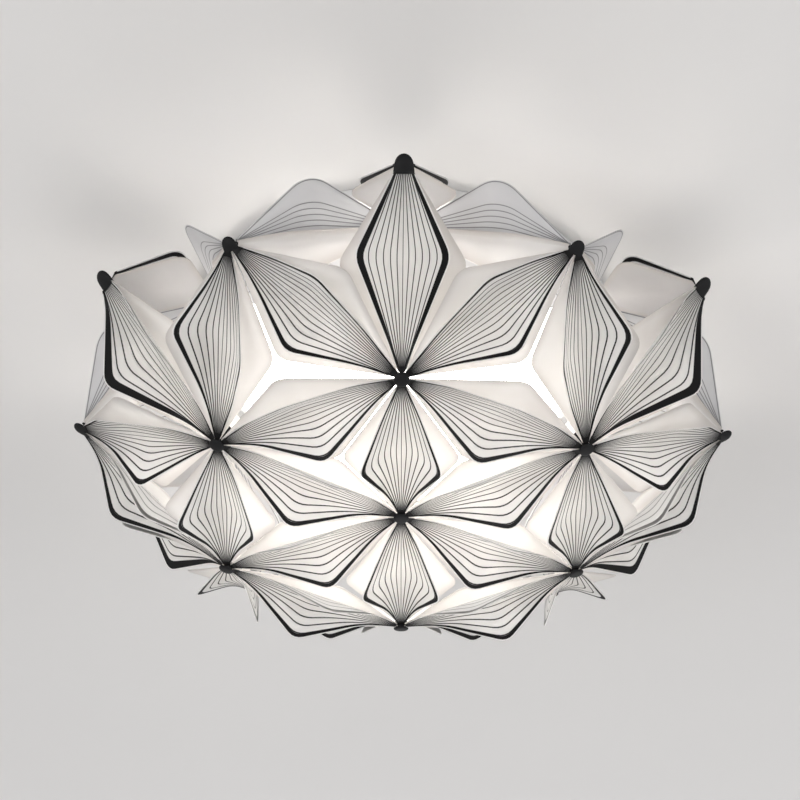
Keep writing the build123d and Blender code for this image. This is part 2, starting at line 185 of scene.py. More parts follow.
HELPERS = (node, calc, soft_step, between, speckle, relief, fresh_material)
print("helpers:", [helper.__name__ for helper in HELPERS])

# %% [markdown]
# The petals are cut from thin translucent sheet. Light falls on them from outside and also
# comes through from the lamp within. A Principled shader gives the satin face, and a
# Translucent shader lets the inner light through. Mixing the two is what makes paper or
# polypropylene look lit. The sheet is never one flat colour: the stock has faint clouds in it.

# %% Sheet stock
SHEET_ROUGHNESS = 0.42
CLOUDY_ROUGHNESS = 0.12
CLOUD_GRAIN = 35.0
FIBRE_GRAIN = 900.0
FIBRE_HEIGHT = 0.0003


def petal_value(graph, name):
    """A value that the petal's mesh carries."""
    made = node(graph, "ShaderNodeAttribute", attribute_name=name)
    return made.outputs["Fac"]


def sheet_shader(graph, shader, output, colour, through, grain_strength):
    """Satin sheet in this colour that lets part of the light through."""
    clouds = speckle(graph, CLOUD_GRAIN, 2.0)
    fibres = speckle(graph, FIBRE_GRAIN, 4.0)
    join(graph, colour, shader.inputs["Base Color"])
    smoothest = SHEET_ROUGHNESS - CLOUDY_ROUGHNESS / 2
    roughness = calc(graph, "MULTIPLY_ADD", clouds, CLOUDY_ROUGHNESS, smoothest)
    join(graph, roughness, shader.inputs["Roughness"])
    normal = relief(graph, fibres, grain_strength, FIBRE_HEIGHT)
    join(graph, normal, shader.inputs["Normal"])
    glow = node(graph, "ShaderNodeBsdfTranslucent")
    join(graph, colour, glow.inputs["Color"])
    mix = node(graph, "ShaderNodeMixShader")
    mix.inputs[0].default_value = through
    graph.links.new(shader.outputs[0], mix.inputs[1])
    graph.links.new(glow.outputs[0], mix.inputs[2])
    graph.links.new(mix.outputs[0], output.inputs["Surface"])


print("sheet roughness:", SHEET_ROUGHNESS, "with fibres", round(1000 / FIBRE_GRAIN, 1), "mm apart")

# %% [markdown]
# The white petals look brighter in the middle than along their cut edge, where less light gets out.
# That soft warm border is painted shade: the mesh says how far each point is from the edge, and the
# colour follows that.
# How much light a sheet lets through differs from place to place. The white colours are painted
# light and shade:
# the eave sheets, lit from within, get a paler white, and the upper sheets, turned away from the
# lamp within, a greyer one.

# %% White sheets
WHITE_THROUGH = 0.38
EAVE_THROUGH = 0.5
UPPER_THROUGH = 0.7
WHITE_GRAIN = 0.12
PAINTED_EDGE_SHADE = (0.70, 0.67, 0.645, 1)
PAINTED_SHADE_REACH = 9.0
STOCK_GRAIN = 18.0


def white_sheet(name, pale, dusk, through):
    """White stock with painted shade towards its cut edge, where less light gets out."""
    material, graph, shader, output = fresh_material(name)
    clouds = speckle(graph, STOCK_GRAIN, 3.0)
    colour = between(graph, soft_step(graph, clouds, 0.35, 0.65), pale, dusk)
    # painted shade: the colour darkens to a warm grey towards the cut edge
    unshaded_share = soft_step(graph, petal_value(graph, "rim"), -PAINTED_SHADE_REACH / 2, PAINTED_SHADE_REACH)
    colour = between(graph, unshaded_share, PAINTED_EDGE_SHADE, colour)
    sheet_shader(graph, shader, output, colour, through, WHITE_GRAIN)
    return material


plain_white = white_sheet(
    "white sheet", (0.88, 0.865, 0.85, 1), (0.85, 0.83, 0.81, 1), WHITE_THROUGH)
# painted light: a paler white for the eave sheets, lit from within
lit_eave_white = white_sheet(
    "white eave sheet, painted light", (0.94, 0.93, 0.92, 1), (0.91, 0.90, 0.89, 1), EAVE_THROUGH)
# painted shade: a greyer white for the upper sheets, turned away from the lamp within
shaded_upper_white = white_sheet(
    "white upper sheet, painted shade", (0.76, 0.75, 0.75, 1), (0.72, 0.71, 0.71, 1), UPPER_THROUGH)
print("white sheets let through", (WHITE_THROUGH, EAVE_THROUGH, UPPER_THROUGH))

# %% [markdown]
# The print on an outer petal is worked out from the petal itself. Every point of the mesh
# carries how far it is across the petal, how wide the petal is there, how near the edge is and
# how far the two tips are. From these the graph draws thirteen lines from tip to tip, a dark
# edge that is widest at the corners, and black tips. Nothing is painted by hand, so the lines
# close up towards the tips by themselves and stay sharp from near by.

# %% Printed sheet
PRINT_LINES = 6.6
LINE_CROWDING = 0.92
LINE_HALF = 0.42
LINE_SOFT = 0.2
EDGE_MARGIN = 0.7
EDGE_AT_TIP = 1.7
TIP_SOFT = 0.6
CLOUD_SHADE = 0.94
PRINTED_GRAIN = 0.1
PRINTED_THROUGH = 0.72
OUTLYING_THROUGH = 0.5
INK = (0.012, 0.011, 0.012, 1)


def ink_share(graph):
    """1 where the petal is inked: on its lines, along its edge and at its tips."""
    across = calc(graph, "ABSOLUTE", petal_value(graph, "across"))
    rim = petal_value(graph, "rim")
    ladder = calc(graph, "MULTIPLY", calc(graph, "POWER", across, LINE_CROWDING), PRINT_LINES)
    off_line = calc(graph, "PINGPONG", ladder, 0.5)
    off_line = calc(graph, "MULTIPLY", off_line, petal_value(graph, "half_width"))
    apart = calc(graph, "DIVIDE", off_line, PRINT_LINES)
    clear = soft_step(graph, apart, LINE_HALF - LINE_SOFT, LINE_HALF + LINE_SOFT)
    lines = calc(graph, "SUBTRACT", 1.0, clear)
    lines = calc(graph, "MULTIPLY", lines, calc(graph, "LESS_THAN", across, 1.0))

    depth = calc(graph, "SUBTRACT", petal_value(graph, "edge"), rim)
    inside = soft_step(graph, depth, -LINE_SOFT, LINE_SOFT)
    outside = soft_step(graph, rim, EDGE_MARGIN - LINE_SOFT, EDGE_MARGIN + LINE_SOFT)
    edge = calc(graph, "MULTIPLY", inside, outside)

    beyond = soft_step(graph, petal_value(graph, "tip"), -TIP_SOFT, TIP_SOFT)
    tips = calc(graph, "SUBTRACT", 1.0, beyond)
    return calc(graph, "MAXIMUM", calc(graph, "MAXIMUM", lines, edge), tips)


def printed_sheet(name, paper, back_ink, through):
    """Paper with the petal's print in ink; the print shows weaker from behind."""
    material, graph, shader, output = fresh_material(name)
    face = petal_value(graph, "printed_face")
    strength = calc(graph, "MULTIPLY_ADD", face, 1.0 - back_ink, back_ink)
    ink = calc(graph, "MULTIPLY", ink_share(graph), strength)
    clouds = soft_step(graph, speckle(graph, STOCK_GRAIN, 3.0), 0.3, 0.7)
    darker = tuple(CLOUD_SHADE * part for part in paper[:3]) + (1,)
    stock = between(graph, clouds, paper, darker)
    colour = between(graph, ink, stock, INK)
    sheet_shader(graph, shader, output, colour, through, PRINTED_GRAIN)
    return material


printed = printed_sheet("printed sheet", (0.98, 0.975, 0.965, 1), 0.5, PRINTED_THROUGH)
# painted shade: the eave and upper sheets get greyer paper, as little light from the lamp within
# reaches them
shaded_eave_print = printed_sheet("printed eave sheet, painted shade", (0.72, 0.72, 0.73, 1), 0.6, OUTLYING_THROUGH)
shaded_upper_print = printed_sheet("printed upper sheet, painted shade", (0.82, 0.82, 0.82, 1), 1.0, OUTLYING_THROUGH)
print("sheets:", [material.name for material in bpy.data.materials])

# %% [markdown]
# The shade is a lattice. Rings of hubs sit at their own radius and height, each turned by a
# number of half sectors of 30 degrees from the front, and every petal pair spans two hubs.
# A pair has a plane of its own: X runs along it and Z faces out of the shade.

# %% Lattice of the shade
HANG = 240.0
RING = (200.0, 8.7)
SIDE = (318.8, 104.2)
CORNER = (330.7, 156.2)
TOP = (209.0, 186.0)
SECTORS = 6
HALF_SECTOR = math.pi / SECTORS
FRONT = -math.pi / 2


def hub_point(ring, steps):
    """A hub's centre in millimetres."""
    radius, height = ring
    turn = FRONT + steps * HALF_SECTOR
    return Vector((radius * math.cos(turn), radius * math.sin(turn), height - HANG))


def pair_matrix(start, end, facing):
    """Matrix of a pair's plane, in millimetres, and the pair's length."""
    along = (end - start).normalized()
    middle = (start + end) / 2
    outwards = Vector((middle.x, middle.y, 0)).normalized()
    lean = math.radians(facing)
    face = outwards * math.cos(lean) + Vector((0, 0, math.sin(lean)))
    normal = (face - along * face.dot(along)).normalized()
    turn = Matrix((along, normal.cross(along), normal)).transposed().to_4x4()
    return Matrix.Translation(start) @ turn, (end - start).length


BOTTOM_HUB = Vector((0, 0, -HANG))
FACING = {"bottom": -90, "ring": -81, "slope": -59, "rim": -45, "upper": 60, "eave": 126}
PAIRS = {
    "bottom": [(BOTTOM_HUB, hub_point(RING, 0))],
    "ring": [(hub_point(RING, 0), hub_point(RING, 2))],
    "slope": [(hub_point(RING, 0), hub_point(SIDE, 1)), (hub_point(RING, 0), hub_point(SIDE, -1))],
    "rim": [(hub_point(RING, 0), hub_point(CORNER, 0))],
    "upper": [(hub_point(CORNER, 0), hub_point(TOP, 0))],
    "eave": [(hub_point(SIDE, 1), hub_point(TOP, 0)), (hub_point(SIDE, 1), hub_point(TOP, 2))],
}
for family, pairs in PAIRS.items():
    print(family, "pair length", round(pair_matrix(*pairs[0], FACING[family])[1], 1), "mm")

# %% [markdown]
# One petal is a thin sheet with a valley from tip to tip and two wings. It is modelled as a
# grid: rows along the pair, columns from wing to wing. The outline is two straight edges and
# one arc at the corner, so the half width at any row comes from a formula. A Solidify modifier
# could give the thickness, but here a second grid under the first does it, because the two
# faces carry different values for the print.

# %% Shape of one petal
THICKNESS = 0.8
ROWS = 44
COLUMNS = 20


def half_width_at(x, start, stop, widest, half, corner, tips):
    """Half width of the outline at x: straight edges with a round corner between them."""
    rise = (half - tips[0]) / (widest - start)
    fall = (half - tips[1]) / (stop - widest)
    turn_up, turn_down = math.atan(rise), math.atan(fall)
    slack = corner * math.tan((turn_up + turn_down) / 2)
    first = widest - slack * math.cos(turn_up)
    last = widest + slack * math.cos(turn_down)
    if x < first:
        return tips[0] + rise * (x - start)
    if x > last:
        return tips[1] + fall * (stop - x)
    centre = first + corner * math.sin(turn_up)
    middle = tips[0] + rise * (first - start) - corner * math.cos(turn_up)
    return middle + math.sqrt(max(0.0, corner ** 2 - (x - centre) ** 2))


def valley(y, lean, fold):
    """Height of the sheet at y to one side of its valley: an arc, then a straight wing."""
    slope = math.radians(lean)
    reach = fold * math.sin(abs(slope))
    side = abs(y)
    if side < reach:
        height = fold - math.sqrt(fold ** 2 - side ** 2)
    else:
        height = fold * (1 - math.cos(slope)) + (side - reach) * math.tan(abs(slope))
    return math.copysign(height, slope)


def rim_distance(x, y, outline):
    """Shortest distance from a point to the outline's edge."""
    here = Vector((x, abs(y)))
    best = 1e9
    for first, second in zip(outline, outline[1:]):
        step = second - first
        share = max(0.0, min(1.0, (here - first).dot(step) / step.length_squared))
        best = min(best, (here - first - step * share).length)
    return best


def petal_grid(length, petal):
    """Points of one petal in its pair's plane, with what the print needs to know of each."""
    start, stop = petal["setbacks"][0], length - petal["setbacks"][1]
    rows = [start + (stop - start) * row / ROWS for row in range(ROWS + 1)]
    wings = {}
    for side in (-1, 1):
        wing = side * petal["hand"]
        widest = (petal["widest"] + wing * petal["skew"]) * length
        half = petal["half"] * (1 if wing > 0 else petal["other_wing"])
        outline = (start, stop, widest, half, petal["corner"], petal["tips"])
        wings[side] = [Vector((x, half_width_at(x, *outline))) for x in rows]
    points = []
    for row, x in enumerate(rows):
        for column in range(COLUMNS + 1):
            across = 2 * column / COLUMNS - 1
            outline = wings[1 if across > 0 else -1]
            width = outline[row].y
            y = across * width
            z = petal["seat"] + valley(y, petal["lean"], petal["fold"])
            black = min(x - petal["black"][0], length - x - petal["black"][1])
            edge = EDGE_AT_TIP + (petal["edge"] - EDGE_AT_TIP) * width / petal["half"]
            lined = width * petal["lined"]
            to_rim = rim_distance(x, y, outline)
            points.append((Vector((x, y, z)), y / lined, lined, to_rim, black, edge))
    return points


print("one petal has", 2 * (ROWS + 1) * (COLUMNS + 1), "points")

# %% [markdown]
# Alike petals become one piece: the same grid is laid into each pair's plane and turned round
# the shade, sector by sector. Copies linked to one mesh would be lighter, but one mesh can stand
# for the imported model's whole node. Where a sector has two mirrored pairs, the second one's
# wings change sides.

# %% Mesh of a whole family of petals
VALUES = ("across", "half_width", "rim", "tip", "edge", "printed_face")
CREASE = math.radians(50)


def petal_family(family, sort, facing, petal, material):
    """Every alike petal of the shade as one mesh of separate sheets."""
    mesh = bmesh.new()
    layers = [mesh.verts.layers.float.new(value) for value in VALUES]
    count = COLUMNS + 1
    for pair, hand in zip(PAIRS[family], (1, -1)):
        matrix, length = pair_matrix(*pair, facing)
        points = petal_grid(length, {**petal, "hand": hand})
        normals = grid_normals([point[0] for point in points], count)
        for sector in range(SECTORS):
            turn = Matrix.Rotation(2 * sector * HALF_SECTOR, 4, "Z") @ matrix
            sides = []
            for side in (1, -1):
                grid = []
                for (place, *values), normal in zip(points, normals):
                    spot = turn @ (place + normal * side * THICKNESS / 2)
                    vert = mesh.verts.new(spot * MM)
                    for layer, value in zip(layers, (*values, (1 + side) / 2)):
                        vert[layer] = value
                    grid.append(vert)
                sides.append(grid)
            close_sheet(mesh, *sides, count)
    node_name = f"{sort}_petals_{family}"
    finished(mesh, f"{family}_{sort}", material, "shade", f"{sort}_sheet", node_name)


def grid_normals(points, count):
    """Unit normal at each point of a grid, from its neighbours."""
    last = len(points) // count - 1
    normals = []
    for index, _ in enumerate(points):
        row, column = divmod(index, count)
        above, below = min(row + 1, last), max(row - 1, 0)
        after, before = min(column + 1, count - 1), max(column - 1, 0)
        along = points[above * count + column] - points[below * count + column]
        side = points[row * count + after] - points[row * count + before]
        normals.append(along.cross(side).normalized())
    return normals


def close_sheet(mesh, front, back, count):
    """Faces of both grids and the strip round the edge."""
    rows = len(front) // count
    for row in range(rows - 1):
        for column in range(count - 1):
            a = row * count + column
            corners = (a, a + count, a + count + 1, a + 1)
            mesh.faces.new([front[i] for i in corners])
            mesh.faces.new([back[i] for i in reversed(corners)])
    border = list(range(count))
    border += [row * count + count - 1 for row in range(1, rows)]
    border += [(rows - 1) * count + column for column in range(count - 2, -1, -1)]
    border += [row * count for row in range(rows - 2, 0, -1)]
    for here, there in zip(border, border[1:] + border[:1]):
        mesh.faces.new((front[here], front[there], back[there], back[here]))


def finished(mesh, name, material, body, slot, *replaced):
    """Turn the mesh into a piece that rides on its body and stands for its CAD nodes."""
    for face in mesh.faces:
        face.smooth = True
    data = bpy.data.meshes.new(name)
    mesh.to_mesh(data)
    mesh.free()
    data.materials.append(material)
    data.set_sharp_from_angle(angle=CREASE)
    piece = bpy.data.objects.new(name, data)
    bpy.context.scene.collection.objects.link(piece)
    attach(piece, body)
    if replaced:
        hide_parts(*replaced)
    print(name, "faces:", len(data.polygons))


# %% [markdown]
# Each family has one printed and one white petal for every pair. The printed ones of the lower
# shade are deep valleys with a soft fold. The white ones behind them are wider and nearly flat,
# so they show as a pale border. The petals that turn up to the ceiling are wider still, and
# those at the eaves open like wings.

# %% Sizes of the petals
PRINTED_SEAT = 0.4
WHITE_SEAT = -1.19
STEEP = 8.0
LEVEL = 6.0
TIP = 2.6
NOSE_TIP = 9.0
SETBACKS = {
    "bottom": (LEVEL, LEVEL), "ring": (LEVEL, LEVEL), "slope": (LEVEL, LEVEL),
    "rim": (LEVEL, STEEP), "upper": (STEEP, LEVEL), "eave": (STEEP, LEVEL),
}
BLACK_TIPS = {
    "bottom": (12, 12), "ring": (12, 12), "slope": (12, 13),
    "rim": (12, 10.5), "upper": (10, 12), "eave": (9, 12),
}
TIPS = {
    "bottom": (TIP, TIP), "ring": (TIP, TIP), "slope": (TIP, TIP),
    "rim": (TIP, NOSE_TIP), "upper": (NOSE_TIP, TIP), "eave": (TIP, TIP),
}
WIDEST = {"bottom": 0.5, "ring": 0.5, "slope": 0.55, "rim": 0.57, "upper": 0.5, "eave": 0.44}
EVEN_WINGS = {"skew": 0.0, "other_wing": 1.0}
LOWER_PRINTED = {
    "half": 39.5, "lean": 48.0, "fold": 25.0, "corner": 24.0, "lined": 1.0, "edge": 3.3,
    "seat": PRINTED_SEAT,
}
LOWER_WHITE = {
    "half": 56.5, "lean": 11.3, "fold": 8.0, "corner": 17.0, "lined": 1.0, "edge": 3.9,
    "seat": WHITE_SEAT,
}
PRINTED_SHAPES = {
    "slope": {"half": 38.0, "lean": 53.0, "facing": -51.0, "widest": 0.537, "skew": 0.045},
    "rim": {"half": 44.5, "edge": 6.8},
    "upper": {"half": 45.0, "lean": 20.0, "fold": 8.0, "corner": 16.0, "edge": 5.6},
    "eave": {
        "half": 61.0, "lean": 5.0, "fold": 8.0, "corner": 34.0, "lined": 0.65, "edge": 1.6,
    },
}
WHITE_SHAPES = {
    "slope": {"half": 56.5, "widest": 0.5},
    "rim": {"half": 60.0, "widest": 0.53},
    "upper": {"half": 54.0, "lean": 4.5},
    "eave": {"half": 9.0, "lean": -60.0, "corner": 5.0, "widest": 0.32, "other_wing": 2.8},
}
print("families:", list(WIDEST))

# %% [markdown]
# Now all ninety-six petals are made. The values of a family are laid over the values of the
# lower shade, so each family says only what sets it apart.

# %% Petals
PRINTED_SHEETS = {"eave": shaded_eave_print, "upper": shaded_upper_print}
WHITE_SHEETS = {"eave": lit_eave_white, "upper": shaded_upper_white}

for family, facing in FACING.items():
    shared = {
        "setbacks": SETBACKS[family], "black": BLACK_TIPS[family], "tips": TIPS[family],
        "widest": WIDEST[family], "facing": facing, **EVEN_WINGS,
    }
    outer = {**LOWER_PRINTED, **shared, **PRINTED_SHAPES.get(family, {})}
    inner = {**LOWER_WHITE, **shared, **WHITE_SHAPES.get(family, {})}
    outer_sheet = PRINTED_SHEETS.get(family, printed)
    inner_sheet = WHITE_SHEETS.get(family, plain_white)
    petal_family(family, "printed", outer["facing"], outer, outer_sheet)
    petal_family(family, "white", inner["facing"], inner, inner_sheet)
print("petals:", 2 * SECTORS * sum(len(pairs) for pairs in PAIRS.values()))

# %% [markdown]
# The hubs are moulded from black plastic with a fine matt grain. Most solid parts of the light
# differ only in colour, roughness and grain, so one function makes such a finish. It mixes two
# shades of the colour in soft patches, and one grain changes both roughness and relief.

# %% Black plastic of the hubs
ROUGH_SPREAD = 0.16
GRAIN_HEIGHT = 0.0002
PATCH_GRAIN = 25.0


def plain_finish(
        name, colour, roughness, metal=0.0, grain=600.0, bump=0.1,
        shade=0.9, stretch=(1, 1, 1), shine=0.5):
    """Solid material with fine grain in its colour, its roughness and its relief."""
    material, graph, shader, _ = fresh_material(name)
    grains = speckle(graph, grain, 4.0, stretch)
    patches = soft_step(graph, speckle(graph, PATCH_GRAIN, 2.0), 0.3, 0.7)
    darker = tuple(part * shade for part in colour) + (1,)
    uneven = calc(graph, "MULTIPLY_ADD", grains, ROUGH_SPREAD, roughness - ROUGH_SPREAD / 2)
    join(graph, between(graph, patches, (*colour, 1), darker), shader.inputs["Base Color"])
    join(graph, uneven, shader.inputs["Roughness"])
    join(graph, relief(graph, grains, bump, GRAIN_HEIGHT), shader.inputs["Normal"])
    shader.inputs["Metallic"].default_value = metal
    shader.inputs["Specular IOR Level"].default_value = shine
    return material


hub_black = plain_finish("hub plastic", (0.006, 0.006, 0.007), 0.6, shade=0.8, shine=0.2)
print("made", hub_black.name)

# %% [markdown]
# Round the middle, a petal's tip lies on a short tongue of its hub, and a low round button
# covers the tips. At the sides and corners the petals meet in a point that sticks out. There
# the hub ends in a blunt nose that carries the petals' black tips on. A button is a profile of
# radius and height. A nose is a row of ovals, each with its place on the way from the tips to
# the point, its half width and its height to both sides. All are in millimetres.

# %% Sizes of buttons, noses and tongues
BUTTON = [(7.4, 0.0), (7.5, 0.5), (7.2, 1.2), (6.4, 1.8), (4.8, 2.2), (2.4, 2.35), (0.4, 2.4)]
BUTTON_SEAT = 1.3
NOSE = [
    (9.6, 9.7, 1.2, 3.0), (7.2, 9.6, 1.9, 3.4), (4.0, 9.3, 2.9, 3.8),
    (0.5, 8.7, 3.7, 4.0), (-2.5, 7.9, 3.8, 3.8), (-5.0, 6.5, 3.2, 3.2),
    (-6.9, 4.6, 2.3, 2.3), (-8.1, 2.2, 1.1, 1.1), (-8.4, 0.3, 0.2, 0.2),
]
NOSE_SIZE = {"side": 0.8, "corner": 1.0}
LEADING_ARMS = {"side": 2, "corner": 1}
TONGUE_START = {"button": 2.2, "side": 6.0, "corner": 6.0}
TONGUE_END = 8.0
TONGUE_BEVEL = 1.0
TONGUE_HALF = 2.0
TONGUE_TAPER = 0.6
TONGUE_HEIGHTS = (-3.6, -2.0)
POST_HALF = 3.5
POST_DEPTH = -4.4
TURNS = 32
SCREW_TURNS = 20
print("button across", 2 * max(radius for radius, _ in BUTTON), "mm")

# %% [markdown]
# Buttons, noses and tongues are all skins over a row of rings: circles for a button, ovals for a
# nose and rectangles for a tongue. A squashed sphere would be quicker, but a skin keeps a
# crisp rim and puts every ring where it is wanted.

# %% Skin over rings


def tube(mesh, rings):
    """Skin over rings of equal count, closed at both ends."""
    loops = [[mesh.verts.new(spot * MM) for spot in ring] for ring in rings]
    mesh.faces.new(list(reversed(loops[0])))
    mesh.faces.new(loops[-1])
    for lower, upper in zip(loops, loops[1:]):
        for here in range(len(lower)):
            there = (here + 1) % len(lower)
            mesh.faces.new((lower[here], lower[there], upper[there], upper[here]))


def oval(place, half, up, down, at, count=TURNS):
    """Points round an oval across Z at this height, higher on one side than on the other."""
    spots = []
    for step in range(count):
        angle = 2 * math.pi * step / count
        rise = math.sin(angle)
        rise *= up if rise > 0 else down
        spots.append(place @ Vector((half * math.cos(angle), rise, at)))
    return spots


def frame_of(centre, axis, up):
    """Matrix at a point: Z along the axis, Y as near to up as can be."""
    axis = axis.normalized()
    side = up.cross(axis).normalized()
    turn = Matrix((side, axis.cross(side), axis)).transposed().to_4x4()
    return Matrix.Translation(centre) @ turn


def tongue(mesh, place, start):
    """A short bar under a petal's tip, narrower at its end."""
    low, high = TONGUE_HEIGHTS
    rings = []
    for x, share in ((start, 1), (TONGUE_END - TONGUE_BEVEL, 1), (TONGUE_END, TONGUE_TAPER)):
        half = TONGUE_HALF * share
        corners = ((-half, low), (half, low), (half, high), (-half, high))
        rings.append([place @ Vector((x, y, z)) for y, z in corners])
    tube(mesh, rings)


print("a button's skin has", len(BUTTON), "rings of", TURNS, "points")

# %% [markdown]
# A hub's tongues point along the pairs that meet there, so the pairs' own matrices place them.
# A button faces away from all of them. A nose points away from the pairs of the lower shade,
# which it carries on: two at a side hub and one at a corner hub.

# %% One kind of hub


def directions(frames, column):
    """Sum of one direction of several matrices: 0 along the pair, 2 out of the shade."""
    return sum((place.to_3x3().col[column] for place in frames), Vector())


def button(cores, caps, centre, frames, turn):
    """A low cap that covers the tips, on a post."""
    away = -directions(frames, 0)
    axis = away if away.length > 0.1 else Vector((0, 0, -1))
    place = turn @ frame_of(centre, axis, Vector((1, 0, 0)))
    post = [(POST_HALF, POST_DEPTH), (POST_HALF, BUTTON_SEAT)]
    cap = [(radius, BUTTON_SEAT + at) for radius, at in BUTTON]
    for mesh, profile in ((cores, post), (caps, cap)):
        tube(mesh, [oval(place, radius, radius, radius, at) for radius, at in profile])


def nose(caps, centre, leading, turn, size):
    """A blunt point that grips the tips of the leading pairs."""
    place = turn @ frame_of(centre, -directions(leading, 0), directions(leading, 2))
    rings = []
    for x, half, outer, inner in NOSE:
        rings.append(oval(place, half * size, outer * size, inner * size, -x * size))
    tube(caps, rings)


def hub_set(name, kind, centre, count, replaced, arms):
    """All alike hubs: a tongue for each arm, and a button or a nose."""
    frames = [pair_matrix(centre, end, FACING[family])[0] for family, end in arms]
    cores, caps = bmesh.new(), bmesh.new()
    for sector in range(count):
        turn = Matrix.Rotation(2 * sector * HALF_SECTOR, 4, "Z")
        for place in frames:
            tongue(cores, turn @ place, TONGUE_START[kind])
        if kind == "button":
            button(cores, caps, centre, frames, turn)
        else:
            nose(caps, centre, frames[:LEADING_ARMS[kind]], turn, NOSE_SIZE[kind])
    finished(cores, f"{name}_cores", hub_black, "shade", "hub_plastic", replaced[0])
    finished(caps, f"{name}_caps", hub_black, "shade", "hub_plastic", replaced[1])


print("pairs that a nose carries on:", LEADING_ARMS)

# %% [markdown]
# Each kind of hub is listed with the families of petals that meet there and where they lead.
# The top hubs are left as they are packed, since their feet on the frame ring are right.

# %% Hubs of the shade
ring, side = hub_point(RING, 0), hub_point(SIDE, 1)
corner, top = hub_point(CORNER, 0), hub_point(TOP, 0)
HUBS = {
    "bottom_hub": ("button", BOTTOM_HUB, 1, ("bottom_hub", "bottom_cap"), [
        ("bottom", hub_point(RING, steps)) for steps in range(0, 12, 2)
    ]),
    "ring_hubs": ("button", ring, SECTORS, ("ring_hubs", "ring_caps"), [
        ("bottom", BOTTOM_HUB), ("ring", hub_point(RING, 2)), ("ring", hub_point(RING, -2)),
        ("slope", side), ("slope", hub_point(SIDE, -1)), ("rim", corner),
    ]),
    "side_hubs": ("side", side, SECTORS, ("side_hubs", "side_caps"), [
        ("slope", ring), ("slope", hub_point(RING, 2)),
        ("eave", top), ("eave", hub_point(TOP, 2)),
    ]),
    "corner_hubs": ("corner", corner, SECTORS, ("corner_hubs", "corner_caps"), [
        ("rim", ring), ("upper", top),
    ]),
}
for name, kind_of_hub in HUBS.items():
    hub_set(name, *kind_of_hub)

# %% [markdown]
# The hidden parts are ordinary: powder coated steel, moulded plastic, zinc, rubber and brass.
# Each gets a finish of its own with a little grain, because the light is also looked at from
# above and with its shade lowered.

# %% Finishes of the hidden parts
FINISHES = {
    "hub_plastic": hub_black,
    "white_paint": plain_finish("white paint", (0.80, 0.80, 0.79), 0.45, grain=1500.0, bump=0.25),
    "magnet_plating": plain_finish(
        "magnet plating", (0.62, 0.62, 0.64), 0.22, metal=1.0, bump=0.05),
    "grommet_rubber": plain_finish("grommet rubber", (0.03, 0.03, 0.03), 0.7),
    "spacer_metal": plain_finish(
        "spacer metal", (0.70, 0.70, 0.72), 0.3, metal=1.0, stretch=(1, 1, 30)),
    "board_white": plain_finish("board lacquer", (0.82, 0.82, 0.80), 0.3),
    "led_lens": plain_finish("led phosphor", (0.85, 0.66, 0.18), 0.25),
    "driver_case": plain_finish("driver case", (0.70, 0.70, 0.69), 0.5, grain=900.0, bump=0.3),
    "terminal_plastic": plain_finish("terminal plastic", (0.76, 0.75, 0.71), 0.45),
    "screw_steel": plain_finish("zinc", (0.62, 0.62, 0.62), 0.35, metal=1.0, stretch=(20, 1, 1)),
    "post_brass": plain_finish("brass", (0.70, 0.52, 0.22), 0.3, metal=1.0),
    "lead_red": plain_finish("red insulation", (0.40, 0.02, 0.015), 0.45),
    "wire_brown": plain_finish("brown insulation", (0.12, 0.05, 0.02), 0.45),
    "wire_blue": plain_finish("blue insulation", (0.02, 0.09, 0.35), 0.45),
    "wire_green": plain_finish("green insulation", (0.05, 0.25, 0.06), 0.45),
}
print("finishes:", len(FINISHES))

# %% [markdown]
# Small fasteners are what makes hidden metalwork look assembled. Screws sit on the feet of the
# top hubs and on the ears of the driver, rivets on the brackets of the magnets. Each is turned
# from a profile, and the screws have a round socket in the head.

# %% Screws and rivets
HEAD = [(2.2, 0.0), (2.2, 0.5), (1.9, 1.1), (1.2, 1.4), (0.9, 1.4), (0.8, 0.6), (0.1, 0.6)]
RIVET = [(1.8, 0.0), (1.7, 0.5), (1.3, 0.9), (0.7, 1.1), (0.1, 1.15)]
FOOT_TOP = -56.0
FOOT_SCREW_RADIUS = 195.0
RIVET_RADIUS = 192.0
RIVET_ACROSS = 7.0
BRACKET_STEPS = (1, 5, 9)
DRIVER_EAR = (60.5, -62.0, -28.0)


def fasteners(name, spots, profile, body):
    """One turned head at each spot, standing on the face below it."""
    mesh = bmesh.new()
    for spot in spots:
        place = Matrix.Translation(spot)
        tube(mesh, [oval(place, radius, radius, radius, at, SCREW_TURNS) for radius, at in profile])
    finished(mesh, name, FINISHES["screw_steel"], body, "screw_steel")


def turned(radius, across, steps, height):
    """A spot in the row frame from its radius and its turn from the front."""
    return Matrix.Rotation(FRONT + steps * HALF_SECTOR, 4, "Z") @ Vector((radius, across, height))


foot_spots = [turned(FOOT_SCREW_RADIUS, 0, steps, FOOT_TOP) for steps in range(0, 12, 2)]
rivet_spots = []
for steps in BRACKET_STEPS:
    for across in (-RIVET_ACROSS, RIVET_ACROSS):
        rivet_spots.append(turned(RIVET_RADIUS, across, steps, FOOT_TOP))
ear_x, ear_y, ear_z = DRIVER_EAR
ear_spots = [Vector((x, ear_y, ear_z)) for x in (-ear_x, ear_x)]
fasteners("foot_screws", foot_spots, HEAD, "shade")
fasteners("bracket_rivets", rivet_spots, RIVET, "shade")
fasteners("driver_screws", ear_spots, HEAD, "base")

# %% [markdown]
# The opal bowl is what glows. On the real light the LEDs shine into it and it scatters their
# light, so the whole bowl is an even soft lamp. Here the bowl itself gives off the light, which
# costs far less to render than many small lamps behind a scattering wall.

# %% Opal bowl
FLOOR_GLOW = 9.5
WALL_GLOW = 2.0
GLOW_BAND = (0.06, 0.12)
OPAL_GRAIN = 12.0
OPAL_ROUGHNESS = (0.3, 0.38)
OPAL_LIGHT = (1.0, 0.975, 0.945, 1)
OPAL_PALE = (0.86, 0.86, 0.84, 1)
OPAL_DUSK = (0.83, 0.83, 0.81, 1)


